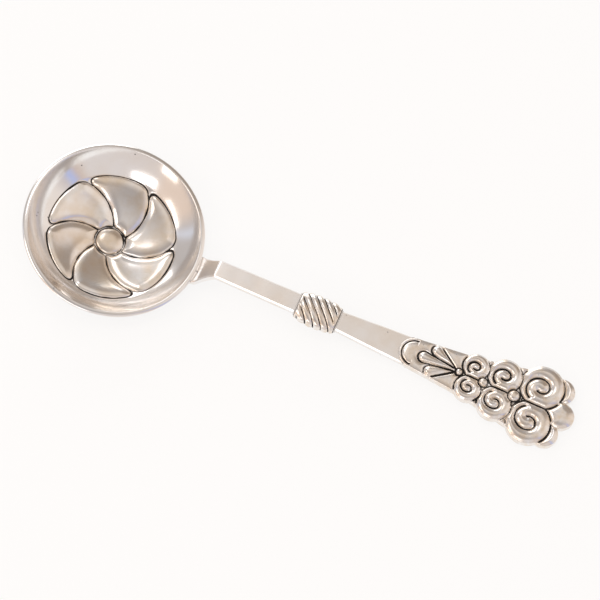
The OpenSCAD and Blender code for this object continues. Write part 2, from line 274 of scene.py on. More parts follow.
# Bowl

PETAL_STEPS = 60
# Rows of points inside the base and the side, over and under the lip, and outside the side and the base
BASE_IN_ROWS, SIDE_IN_ROWS = 140, 30
LIP_TOP_ROWS, LIP_LOW_ROWS = 12, 4
SIDE_OUT_ROWS, BASE_OUT_ROWS = 22, 50
# Reach and gain with which points crowd at the lines, along the section and, as a share of a petal, around
ROW_CROWD = (1.5, 1.5)
COLUMN_CROWD = (0.12, 2.0)
# Size of the petals' arcs through the middle, against arcs that meet the rosette's edge half a petal before
# their furthest point
WHIRL_SPREAD = 1.12
# Ground between the boss and the petals
BOSS_GAP = 0.5
# Rounding of a petal's corners, on the side it whirls from and on the side it whirls towards, and the
# shares of its width between which one passes into the other
OUTER_CORNERS = (1.6, 3.4)
INNER_CORNERS = (0.5, 1.2)
CORNER_BLEND = (0.3, 0.7)
# Widths over which a petal and the boss swell from their outlines
PETAL_EDGE = 4.2
BOSS_EDGE = 4.6
# Depth and width of the chased lines, the share by which the hand makes the width uneven, and the waves of
# that unevenness in a turn and in radians a millimetre outwards
LINE_DEPTH = 0.35
LINE_WIDTH = 0.27
LINE_WOBBLE = 0.35
WOBBLE_WAVES = 5
WOBBLE_DRIFT = 0.9
# Foot of the side inside the bowl, as a share of the rosette's radius, and the sag of its arc
WALL_FOOT = 1.02
WALL_SAG = 0.5
# Keeps the lip just inside the flat facets of the solid's rim
RIM_EASE = 0.02
# Share of tarnish left on the side, which is rubbed clean more often than the rosette, and the distances
# inside a petal's outline between which it passes into the rosette's
SIDE_TARNISH = 0.25
TARNISH_BLEND = (-1.0, 0.5)
# Depth of the dents that embossing leaves outside, and the width over which they sink
DENT_DEPTH = 0.5
DENT_EDGE = 8.0


def petal_depth(s, radius, share):
    """Distance inside the outline of a petal or of the boss, negative on the ground around them.

    A petal lies between two arcs through the rosette's middle, share of the way from one to the other.
    Its corners are rounded, more on the side towards which it whirls."""
    arc = np.sqrt(1 - (np.minimum(radius, s.rosette_d / 2) / (2 * s.whirl_r)) ** 2)
    pitch = 2 * math.pi / s.petal_count * radius * arc
    side = np.minimum(share, 1 - share) * pitch
    outer = s.rosette_d / 2 - radius
    inner = radius - s.boss_d / 2 - BOSS_GAP
    depth = np.full_like(side, np.inf)
    for end, (small, large) in ((outer, OUTER_CORNERS), (inner, INNER_CORNERS)):
        corner = small + (large - small) * smooth(share, *CORNER_BLEND)
        across, along = corner - side, corner - end
        rounded = np.hypot(np.maximum(across, 0), np.maximum(along, 0))
        depth = np.minimum(depth, corner - rounded - np.minimum(np.maximum(across, along), 0))
    return np.maximum(depth, s.boss_d / 2 - radius)


def bowl_profile(s):
    """Half section of the sheet as radius, height and way out, and which rows bear petals and dents.

    Rows go over the inside of the base and the side, the lip, and the outside of the side and the base.
    The base is an arc of a circle inside and outside. The side's inside is a flat arc from just past the
    rosette to the lip's crisp inner edge. The lip is a quarter ellipse over the top and then an eighth of
    a circle."""
    inner_r = s.base_r - s.sheet_t
    foot_x = WALL_FOOT * s.rosette_d / 2
    radius = graded(0, foot_x, BASE_IN_ROWS, (s.boss_d / 2, s.rosette_d / 2), *ROW_CROWD)
    lean = np.arcsin(radius / inner_r)
    base_in = [radius, s.base_z - inner_r * np.cos(lean), -np.sin(lean), np.cos(lean)]

    edge_x, edge_z = s.rim_r - s.lip_t - RIM_EASE, s.lip_t / 2
    chord_x, chord_z = edge_x - foot_x, edge_z - base_in[1][-1]
    chord = math.hypot(chord_x, chord_z)
    wall_r = chord ** 2 / (8 * WALL_SAG) + WALL_SAG / 2
    lean = math.atan2(chord_z, chord_x) + math.asin(chord / 2 / wall_r) * np.linspace(-1, 1, SIDE_IN_ROWS)
    wall_x = edge_x + wall_r * (np.sin(lean) - math.sin(lean[-1]))
    wall_z = edge_z - wall_r * (np.cos(lean) - math.cos(lean[-1]))
    side_in = np.stack([wall_x, wall_z, -np.sin(lean), np.cos(lean)])[:, 1:]

    turn = np.linspace(math.pi / 2, 0, LIP_TOP_ROWS)[1:]
    lip_top = [edge_x + s.lip_t * np.cos(turn), edge_z * np.sin(turn), np.cos(turn), np.sin(turn)]
    turn = np.linspace(0, -math.pi / 4, LIP_LOW_ROWS)[1:]
    lip_low = [edge_x + edge_z + edge_z * np.cos(turn), edge_z * np.sin(turn), np.cos(turn), np.sin(turn)]

    lean = np.linspace(math.acos((s.side_z + s.lip_t / 2) / s.side_r), s.bend, SIDE_OUT_ROWS)
    sin, cos = np.sin(lean), np.cos(lean)
    side_out = [s.side_x + s.side_r * sin, s.side_z - s.side_r * cos, sin, -cos]
    lean = np.linspace(s.bend, 0, BASE_OUT_ROWS)[1:]
    sin, cos = np.sin(lean), np.cos(lean)
    base_out = [s.base_r * sin, s.base_z - s.base_r * cos, sin, -cos]

    profile = np.concatenate([base_in, side_in, lip_top, lip_low, side_out, base_out], axis=1)
    inside = np.arange(profile.shape[1]) < len(base_in[0])
    outside = np.arange(profile.shape[1]) >= profile.shape[1] - len(base_out[0])
    return profile[:, :, None], inside[:, None], outside[:, None]


def bowl_surface(s):
    """Closed sheet turned about the bowl's axis, with its oxide and its tarnish.

    A column keeps its share of a petal, so it turns with the whirl by acos(radius / whirl diameter).
    Inside, the relief is added along the normal: pillows swell from the petals' outlines,
    which are cut as bell-shaped grooves. Outside it leaves the soft dents of embossing."""
    s.whirl_r = s.rosette_d / 4 / math.cos(math.pi / s.petal_count) * WHIRL_SPREAD
    (radius, height, out_r, out_z), inside, outside = bowl_profile(s)
    one_petal = graded(0, 1, PETAL_STEPS, (0, 1), *COLUMN_CROWD)
    petals = np.arange(s.petal_count)[:, None] + one_petal[None, :-1]
    sweep = np.append(petals.ravel(), s.petal_count)[None, :]
    share = sweep % 1
    whirl = np.arccos(np.minimum(radius, s.rosette_d / 2) / (2 * s.whirl_r))
    around = sweep * 2 * math.pi / s.petal_count - whirl

    depth = petal_depth(s, radius, share)
    edge = np.where(radius < s.boss_d / 2, BOSS_EDGE, PETAL_EDGE)
    wobble = LINE_WOBBLE * np.sin(WOBBLE_WAVES * around + WOBBLE_DRIFT * radius)
    line = bell(depth, LINE_WIDTH * (1 + wobble))
    relief = inside * (s.petal_h * swell(depth, edge) - LINE_DEPTH * line)
    relief = relief - outside * DENT_DEPTH * swell(depth, DENT_EDGE)
    radius = radius + out_r * relief
    height = height + out_z * relief
    points = np.stack([radius * np.cos(around), radius * np.sin(around), height], axis=-1)
    tarnish = SIDE_TARNISH + (1 - SIDE_TARNISH) * inside * smooth(depth, *TARNISH_BLEND)
    return turned(points, s.bowl_tilt, s.bowl_origin), inside * line, tarnish


# Stem

NECK_ROWS = 40
BAR_ROWS = 120
# Columns of points over the top face, down a side and over the back
TOP_COLUMNS, SIDE_COLUMNS, BACK_COLUMNS = 17, 4, 9
# Reach and gain, as shares of their lengths, with which rows crowd at the neck's ends and at the ridge
NECK_CROWD = (0.08, 3.0)
BAR_CROWD = (0.02, 6.0)
# Bevel along the edges, across the face and down the side, and the angle past which an edge is crisp
BEVEL_IN, BEVEL_DOWN = 0.5, 0.38
STEM_CREASE = math.radians(30)
# How far the foot goes into the bowl's wall, and the bar's end into the terminal's nose
FOOT_SINK = 0.1
NOSE_SINK = 0.35
# How far the nose stands out past the bar's sides
NOSE_CLEAR = 0.4
# Where the heel comes on the way up the neck, as a share of it
HEEL_AT = 0.16
RIDGE_ROUND = 0.22
# Powers by which the round seat and the bend's lean fade along the bar
SEAT_FADE = 12
BEND_FADE = 20
# Height of the hand's waves in the top face, their rates in radians a millimetre with their phases, and the
# distances from the ridge between which they set in
HAND_WAVE = 0.012
HAND_WAVES = ((0.71, 0.0), (0.29, 1.0))
WAVES_FROM = (1, 8)


def on_wall(s, drop, y):
    """Points just under the bowl's outer face, a drop below its rim and y across, in the handle's frame."""
    wall = s.side_x + np.sqrt(s.side_r ** 2 - (s.side_z + drop) ** 2) - FOOT_SINK
    points = np.stack([np.sqrt(wall ** 2 - y ** 2), y, -drop], axis=-1)
    return unturned(turned(points, s.bowl_tilt, s.bowl_origin), s.slope, s.ridge_origin)


def stem_section():
    """Shares and insets of a bevelled bar's section, from one corner right round to it again.

    A point lies at share of the half width plus an inset across, and at share of the thickness plus an
    inset down from the top face."""
    top = np.linspace(-1, 1, TOP_COLUMNS)
    low = np.linspace(1, -1, BACK_COLUMNS)
    rise = np.linspace(0, 1, SIDE_COLUMNS)
    faces = [
        (top, 0 * top, -top * BEVEL_IN, 0 * top),
        (1 + 0 * rise, rise, 0 * rise, BEVEL_DOWN * (1 - 2 * rise)),
        (low, 1 + 0 * low, -low * BEVEL_IN, 0 * low),
        (-1 + 0 * rise, 1 - rise, 0 * rise, BEVEL_DOWN * (2 * rise - 1)),
    ]
    section = np.concatenate(faces, axis=1)
    return np.concatenate([section, section[:, :1]], axis=1)


def stem_surface(s):
    """Flat bar with its bent neck, lofted through bevelled sections.

    The foot's section lies on the bowl's wall, just under its face. Above it the neck's top runs straight
    to the ridge, its underside by way of the heel, and its width eases in as a square, which gives the
    flare. The ridge is a hyperbola between the lines of neck and bar. The bar widens in two straight
    stretches up to the round seat of the terminal's nose. Each end closes at its section's middle."""
    share_y, share_t, inset_y, inset_t = stem_section()[:, None, :]
    drop = s.joint_drop + (s.foot_drop - s.joint_drop) * share_t + inset_t
    foot = on_wall(s, drop, share_y * s.foot_w / 2 + inset_y)
    top_x, _, top_z = on_wall(s, np.array(s.joint_drop), np.array(0.0))
    low_x, _, low_z = on_wall(s, np.array(s.foot_drop), np.array(0.0))
    bend = math.atan2(-top_z, -top_x)
    heel_x, heel_z = top_x + s.foot_t * math.sin(bend), top_z - s.foot_t * math.cos(bend)
    bend_x = s.stem_t * math.tan(bend / 2)
    deep = share_t + inset_t / s.stem_t

    def ridge_line(x):
        """Height of the top over the bar's line."""
        return -math.tan(bend) * (np.sqrt(x ** 2 + RIDGE_ROUND ** 2) - x) / 2

    t = graded(0, 1, NECK_ROWS, (0, 1), *NECK_CROWD)[:-1, None]
    over_x = top_x * (1 - t)
    over_z = ridge_line(over_x)
    under_x = np.interp(t, [0, HEEL_AT, 1], [low_x, heel_x, bend_x])
    under_z = np.interp(t, [0, HEEL_AT, 1], [low_z, heel_z, -s.stem_t])
    half = s.ridge_w / 2 + (s.foot_w - s.ridge_w) / 2 * (1 - t) ** 2
    neck = np.stack([
        over_x + (under_x - over_x) * deep,
        share_y * half + inset_y,
        over_z + (under_z - over_z) * deep,
    ], axis=-1)
    neck += (foot - neck[:1]) * np.maximum(1 - t / HEEL_AT, 0)[..., None]

    seat_r = s.stem_end_w / 2 + NOSE_CLEAR - NOSE_SINK
    end_y = share_y * s.stem_end_w / 2 + inset_y
    seat = seat_r - np.sqrt(np.maximum(seat_r ** 2 - end_y ** 2, 0))
    reach = s.terminal_at + NOSE_SINK
    t = graded(0, 1, BAR_ROWS, (0,), *BAR_CROWD)[:, None]
    along = t * reach
    collar_ends = s.collar_at + np.array([-1, 1]) * s.collar_l / 2
    places = [0, collar_ends[0], collar_ends[1], reach]
    half = np.interp(along, places, np.array([s.ridge_w, s.stem_w, s.stem_w, s.stem_end_w]) / 2)
    waves = sum(np.sin(along * rate + phase) for rate, phase in HAND_WAVES)
    wave = HAND_WAVE * waves * smooth(along, *WAVES_FROM)
    bar = np.stack([
        along + seat * t ** SEAT_FADE + bend_x * deep * (1 - t) ** BEND_FADE,
        share_y * half + inset_y,
        (wave + ridge_line(along)) * (1 - deep) - s.stem_t * deep,
    ], axis=-1)
    rows = np.concatenate([neck, bar])
    caps = np.broadcast_to(rows[[0, -1]].mean(axis=1, keepdims=True), (2,) + rows.shape[1:])
    rows = np.concatenate([caps[:1], rows, caps[1:]])
    return turned(rows, s.slope, s.ridge_origin)


# Collar

COLLAR_COLUMNS = 216
COLLAR_ROWS = 110
SLOT_ROWS = 8
# Room between the stem and the slot, and the wall that is left around the slot at the ends
COLLAR_SLIT = 0.02
COLLAR_WALL = 0.8
# Exponents of the superellipses: the collar's section is nearly an ellipse, the slot's nearly a rectangle
COLLAR_ROUND = 2.4
SLOT_ROUND = 9.0
# Way in from the ends over which the lobes set in, and the widths of the oxide between them and at the ends
LOBES_FROM = 1.6
LOBE_LINE = 0.28
END_LINE = 0.25


def collar_surface(s):
    """Crowned sleeve on the stem, closed round its slot, and its oxide.

    Rows run along the outside from end to end and back through the slot. A section is a superellipse
    whose half width and half height swell from the ends to the middle as a circle's arc does. Lobes
    slant across it: grooves lie where (way from an end + across * tan slant) / step is a whole number,
    and the surface sinks to them towards the stem's axis."""
    half_l = s.collar_l / 2
    along = np.concatenate([
        -half_l * np.cos(np.linspace(0, math.pi, COLLAR_ROWS)),
        np.linspace(half_l, -half_l, SLOT_ROWS),
        [-half_l],
    ])[:, None]
    outer = (np.arange(len(along)) < COLLAR_ROWS)[:, None]
    outer[-1] = True
    crown = np.sqrt(np.maximum(1 - (along / half_l) ** 2, 0))
    slot_w = s.stem_w / 2 + COLLAR_SLIT
    slot_t = s.stem_t / 2 + COLLAR_SLIT
    end_w, end_t = slot_w + COLLAR_WALL, slot_t + COLLAR_WALL
    half_w = np.where(outer, end_w + (s.collar_w / 2 - end_w) * crown, slot_w)
    half_t = np.where(outer, end_t + (s.collar_t / 2 - end_t) * crown, slot_t)
    power = np.where(outer, 2 / COLLAR_ROUND, 2 / SLOT_ROUND)

    turn = np.linspace(0, 2 * math.pi, COLLAR_COLUMNS + 1)[None, :]
    # The last column is the first again, to the last digit
    turn[:, -1] = 0.0
    cos, sin = np.cos(turn), np.sin(turn)
    across = half_w * np.sign(cos) * np.abs(cos) ** power
    up = half_t * np.sign(sin) * np.abs(sin) ** power

    step = s.collar_l / s.gadroon_count
    lobe = (along + across * math.tan(s.gadroon_slant)) / step + s.gadroon_count / 2
    depth = np.abs(lobe - np.round(lobe)) * step * math.cos(s.gadroon_slant)
    half_lobe = step * math.cos(s.gadroon_slant) / 2
    ends = smooth(half_l - np.abs(along), 0.0, LOBES_FROM) * outer
    sink = s.gadroon_depth * (1 - swell(depth, half_lobe)) * ends
    shrink = 1 - sink / np.hypot(across, up)
    points = np.stack([along + 0 * across, across * shrink, up * shrink], axis=-1)
    points += np.array([s.collar_at, 0, -s.stem_t / 2])
    patina = np.maximum(bell(depth, LOBE_LINE) * ends, outer * bell(half_l - np.abs(along), END_LINE))
    return turned(points, s.slope, s.ridge_origin), patina


# Terminal

TERMINAL_ROWS = 250
FAN_ROWS = 150
# Columns of points out over the top, round the edge and back over the underside
TERMINAL_COLUMNS = 72
EDGE_COLUMNS = 8
UNDER_COLUMNS = 8
# Angle of the cosine by which rows crowd towards the nose
NOSE_CROWD = 1.2
# Distance of a volute's middle from the axis as a share of its radius, the last one's lead on the shell's
# middle, and the share by which neighbours overlap
VOLUTE_SPREAD = 0.88
LAST_VOLUTE_LEAD = 4.0
OVERLAP = 0.06
# Reach of the flanks past the volutes' middles, as a share of their radius
FLANK_SHARE = 0.75
# Distance of the line round the nose from its edge
FRONT_LINE = 1.1
# Scroll of a volute: how far it keeps inside the edge, the half circles' radii as shares of it, its turn
SCROLL_INSET = 1.4
SCROLL_ARCS = (0.72, 0.4)
SCROLL_TURN = math.radians(60)
# Bead's radius as a share of its volute's
BEAD_SHARE = 0.28
# Palmette: angle between leaves, the size of their round ends as a share of its length, and their roots
LEAF_PITCH = math.radians(26)
LEAF_SHARE = 0.15
LEAF_ROOT = 0.5
FLUTE_ROOT = 1.0
# Heights of the forms as shares of the relief, and the widths of their swell as shares of their radii
FLUTE_RISE, FLUTE_SWELL = 0.9, 0.9
LEAF_RISE, LEAF_SWELL = 0.85, 1.1
BEAD_RISE, BEAD_SWELL = 0.75, 1.0
VOLUTE_SWELL = 0.42
# A volute's height grows with its radius: its least share, the radius that would add a whole one, its most
VOLUTE_LEAST, VOLUTE_GAIN, VOLUTE_MOST = 0.5, 14.0, 0.95
CHASED_DEPTH = 0.3
CHASED_WIDTH = 0.4
# Distances inside the outline between which the lines and the ground's oxide set in
INLAND = (0.35, 1.1)
PLATE_RISE = 0.1
# Soft swell of the bare ground, the way in from its edges over which it rises, and its oxide
GROUND_RISE = 0.45
GROUND_EDGE = 3.0
GROUND_OXIDE = 0.15
# Rounding of the plate's edge, and the power of its superellipse
RIM_ROUND = 0.5
EDGE_POWER = 0.7
# Cosine under which a ray counts as square to the axis
SQUARE = 1e-6


def terminal_plan(s):
    """Centres and radii, in the plan of the terminal, of its nose, volutes and flutes, and its flanks."""
    p = SimpleNamespace()
    p.nose_r = s.stem_end_w / 2 + NOSE_CLEAR
    p.shell_u = s.terminal_l - s.shell_r
    last_r = s.volutes_w / 2 / (1 + VOLUTE_SPREAD)
    last_u = p.shell_u + LAST_VOLUTE_LEAD
    p.volutes = [(last_u, last_r)]
    for _ in range(s.volute_pairs - 1):
        next_u, next_r = p.volutes[0]
        r = next_r / s.volute_growth
        p.volutes.insert(0, (next_u - (1 - OVERLAP) * (r + next_r), r))
    sine = math.sin(s.flute_pitch / 2)
    p.flute_r = (1 + OVERLAP) * s.shell_r * sine / (1 + sine)
    first_u, first_r = p.volutes[0]
    p.palmette_u = first_u - (1 + BEAD_SHARE) * first_r
    p.flank_u = [p.nose_r] + [u for u, _ in p.volutes]
    p.flank_v = [p.nose_r] + [(VOLUTE_SPREAD + FLANK_SHARE) * r for _, r in p.volutes]
    middle = (s.flute_count - 1) / 2
    p.flutes = [(i - middle) * s.flute_pitch for i in range(s.flute_count)]
    return p


def capsule_depth(u, v, start, turn, reach, root_r, tip_r):
    """Distance inside a leaf or flute that runs from start at an angle and widens evenly to its round tip."""
    du = u - start
    x = du * math.cos(turn) + v * math.sin(turn)
    y = np.abs(v * math.cos(turn) - du * math.sin(turn))
    lean = (root_r - tip_r) / reach
    level = math.sqrt(1 - lean ** 2)
    along = x * level - y * lean
    low = np.hypot(x, y) - root_r
    high = np.hypot(x - reach, y) - tip_r
    flank = y * level + x * lean - root_r
    return -np.where(along < 0, low, np.where(along > reach * level, high, flank))


def scroll_depth(u, v, centre_u, centre_v, radius):
    """Distance to a volute's scroll line: half circles, each of which starts where the last one ends."""
    du, dv = u - centre_u, v - centre_v
    x = du * math.cos(SCROLL_TURN) + dv * math.sin(SCROLL_TURN)
    y = dv * math.cos(SCROLL_TURN) - du * math.sin(SCROLL_TURN)
    depth = np.full_like(u, np.inf)
    start, way = -radius, 1
    for share in SCROLL_ARCS:
        arc_r = share * radius
        middle, end = start + way * arc_r, start + 2 * way * arc_r
        on_arc = np.abs(np.hypot(x - middle, y) - arc_r)
        past_ends = np.minimum(np.hypot(x - start, y), np.hypot(x - end, y))
        depth = np.minimum(depth, np.where(way * y >= 0, on_arc, past_ends))
        start, way = end, -way
    return depth


def terminal_relief(s, p, u, v):
    """Height of the chased relief over the plate, and share of oxide.

    Forms are laid from the lowest to the highest. Each covers the lines of those under it, so that depth
    is the distance to the nearest line that shows. A form swells from there, up to its height over its
    own width, the ground swells from the lines and the outline, and a line is cut as a bell-shaped groove.
    Body is the distance inside the outline."""
    nose = p.nose_r - np.hypot(u - p.nose_r, v)
    flanked = (u > p.nose_r) & (u < p.flank_u[-1])
    body = np.where(flanked, np.interp(u, p.flank_u, p.flank_v) - v, nose)
    depth = np.where(u < p.nose_r, np.abs(nose - FRONT_LINE), np.inf)
    rise = np.full_like(u, GROUND_RISE)
    width = np.full_like(u, GROUND_EDGE)
    form = np.zeros_like(u)

    def lay(inside, height, edge, vein=None):
        """Lays a form over those that lie already, with a line of its own along its vein."""
        nonlocal depth, rise, width, form, body
        covered = inside > 0
        own = inside if vein is None else np.minimum(inside, vein)
        depth = np.where(covered, own, np.minimum(depth, -inside))
        rise = np.where(covered, height, rise)
        width = np.where(covered, edge, width)
        form = np.where(covered, 1.0, form)
        body = np.maximum(body, inside)

    reach = s.shell_r - p.flute_r
    for turn in sorted((t for t in p.flutes if t >= 0), reverse=True):
        flute = capsule_depth(u, v, p.shell_u, turn, reach, FLUTE_ROOT, p.flute_r)
        lay(flute, FLUTE_RISE * s.relief_h, FLUTE_SWELL * p.flute_r)
    leaf_r = LEAF_SHARE * s.palmette_l
    for turn in (LEAF_PITCH, 0.0):
        reach = s.palmette_l * math.cos(turn) ** 2 - leaf_r
        leaf = capsule_depth(u, v, p.palmette_u, math.pi - turn, reach, LEAF_ROOT, leaf_r)
        lay(leaf, LEAF_RISE * s.relief_h, LEAF_SWELL * leaf_r)
    for centre_u, r in reversed(p.volutes):
        centre_v = VOLUTE_SPREAD * r
        disc = np.minimum(r - np.hypot(u - centre_u, v - centre_v), v)
        scroll = scroll_depth(u, v, centre_u, centre_v, (1 - OVERLAP) * r - SCROLL_INSET)
        volute_rise = min(VOLUTE_LEAST + r / VOLUTE_GAIN, VOLUTE_MOST)
        lay(disc, volute_rise * s.relief_h, VOLUTE_SWELL * r, scroll)
    for centre_u, r in p.volutes:
        bead_r = BEAD_SHARE * r
        bead = bead_r - np.hypot(u - centre_u + r, v)
        lay(bead, BEAD_RISE * s.relief_h, BEAD_SWELL * bead_r)

    inland = smooth(body, *INLAND)
    line = bell(depth, CHASED_WIDTH) * inland
    inward = np.where(form > 0, depth, np.minimum(depth, np.maximum(body, 0)))
    height = PLATE_RISE + rise * swell(inward, width) - CHASED_DEPTH * line
    ground = (1 - form) * inland
    return height, np.maximum(line, GROUND_OXIDE * ground)


def terminal_reach(s, p, origin_u, turn):
    """Distance from a point on the axis to the terminal's outline along each of the given angles.

    The outline is that of the nose, the volutes and the flutes' round ends, so the distance is the
    furthest crossing of a ray with those circles and with the straight flanks between them."""
    cos, sin = np.cos(turn), np.sin(turn)
    circles = [(p.nose_r, 0.0, p.nose_r)]
    circles += [(centre_u, VOLUTE_SPREAD * r, r) for centre_u, r in p.volutes]
    tip = s.shell_r - p.flute_r
    circles += [(p.shell_u + tip * math.cos(t), tip * math.sin(t), p.flute_r) for t in p.flutes if t >= 0]
    reach = np.zeros_like(turn)
    for centre_u, centre_v, r in circles:
        toward = (centre_u - origin_u) * cos + centre_v * sin
        off = (centre_u - origin_u) * sin - centre_v * cos
        half_chord = np.sqrt(np.maximum(r ** 2 - off ** 2, 0))
        reach = np.maximum(reach, np.where(np.abs(off) < r, toward + half_chord, 0))
    flank = np.interp(origin_u, p.flank_u, p.flank_v)
    square = (origin_u >= p.nose_r) & (cos < SQUARE)
    return np.where(square, np.maximum(reach, flank), reach)


def terminal_surface(s):
    """Scrolled plate with its chased top, rounded edge and flat back, and its oxide.

    Rows are rays from the axis to the outline: square to it up to the middle of the shell, and then a
    fan about that middle. Columns run out along the ray over the top, round the edge as a superellipse
    and back along the underside. The half with positive v is worked out from the nose to the shell's end,
    and the other mirrors it on the way back."""
    p = terminal_plan(s)
    crowd = np.linspace(0, 1, TERMINAL_ROWS) * NOSE_CROWD
    square_u = p.shell_u * (1 - np.cos(crowd)) / (1 - math.cos(NOSE_CROWD))
    fan = np.linspace(math.pi / 2, 0, FAN_ROWS)[1:]
    origin_u = np.concatenate([square_u, np.full(len(fan), p.shell_u)])[:, None]
    turn = np.concatenate([np.full(len(square_u), math.pi / 2), fan])[:, None]
    reach = terminal_reach(s, p, origin_u, turn)
    inset = np.minimum(RIM_ROUND, reach / 2)

    out = np.linspace(0, 1, TERMINAL_COLUMNS + 1)[None, :]
    top = (reach - inset) * out
    top_u, top_v = origin_u + top * np.cos(turn), top * np.sin(turn)
    height, patina = terminal_relief(s, p, top_u, np.maximum(top_v, 0))

    swing = np.linspace(math.pi / 2, -math.pi / 2, EDGE_COLUMNS + 1)[None, 1:]
    middle_z = (height[:, -1:] - s.stem_t) / 2
    half_t = (height[:, -1:] + s.stem_t) / 2
    edge = reach - inset + inset * np.abs(np.cos(swing)) ** EDGE_POWER
    edge_z = middle_z + half_t * np.sign(np.sin(swing)) * np.abs(np.sin(swing)) ** EDGE_POWER
    back = (reach - inset) * np.linspace(1, 0, UNDER_COLUMNS + 1)[None, 1:]

    ray = np.concatenate([top, edge, back], axis=1)
    z = np.concatenate([height, edge_z, np.full(back.shape, -s.stem_t)], axis=1)
    patina = np.pad(patina, ((0, 0), (0, ray.shape[1] - patina.shape[1])))
    half = np.stack([s.terminal_at + origin_u + ray * np.cos(turn), ray * np.sin(turn), z], axis=-1)
    points = np.concatenate([half, half[-2::-1] * np.array([1, -1, 1])])
    return turned(points, s.slope, s.ridge_origin), np.concatenate([patina, patina[-2::-1]])


# Finishes

# Sockets of a Mix node that mixes colours
MIX_A, MIX_B, MIX_OUT = 6, 7, 2
# Sizes in millimetres of the flecks in the oxide, of the stretches where it is worn off, and of the
# polishing marks, which are drawn coarser than real ones so that they show
FLECK_MM, WORN_MM, MARK_MM = 0.7, 6, 0.9
# How much the flecks add to the oxide, how much wear takes off, and the sums between which it sets in
FLECK_SHARE, WORN_SHARE = 0.4, 1.1
OXIDE_FROM, OXIDE_FULL = 0.2, 0.42
# Space between pits in millimetres, their radius as a share of it, the share of that which is darkest, and
# how much oxide it holds
PIT_SPACING = 5.5
PIT_SHARE = 0.06
PIT_CORE = 0.6
PIT_OXIDE = 0.8
# Least and most roughness over the patches, as shares of a piece's own
POLISH_LEAST, POLISH_MOST = 0.8, 1.4
# Roughness of metal rubbed clean, as a share of that of metal left to tarnish
CLEAN_SHARE = 0.75
OXIDE_ROUGHNESS = 0.6
OXIDE_METALLIC = 0.3
# Size and depth in millimetres of the pits in the solder
SOLDER_PIT_MM = 0.4
SOLDER_PIT_DEPTH = 0.03


def add(tree, kind, settings, inputs):
    """Adds a shader node, sets its settings, and fills its inputs with values or links."""
    node = tree.nodes.new(f"ShaderNode{kind}")
    for name, value in settings.items():
        setattr(node, name, value)
    for key, value in inputs.items():
        if isinstance(value, bpy.types.NodeSocket):
            tree.links.new(value, node.inputs[key])
        else:
            node.inputs[key].default_value = value
    return node


def per_metre(millimetres):
    """Scale of a texture whose features are that many millimetres across."""
    return 1 / (millimetres * MM)


def new_tree(name):
    """Material of that name with an empty node tree."""
    material = bpy.data.materials.new(name)
    material.use_nodes = True
    material.node_tree.nodes.clear()
    return material, material.node_tree


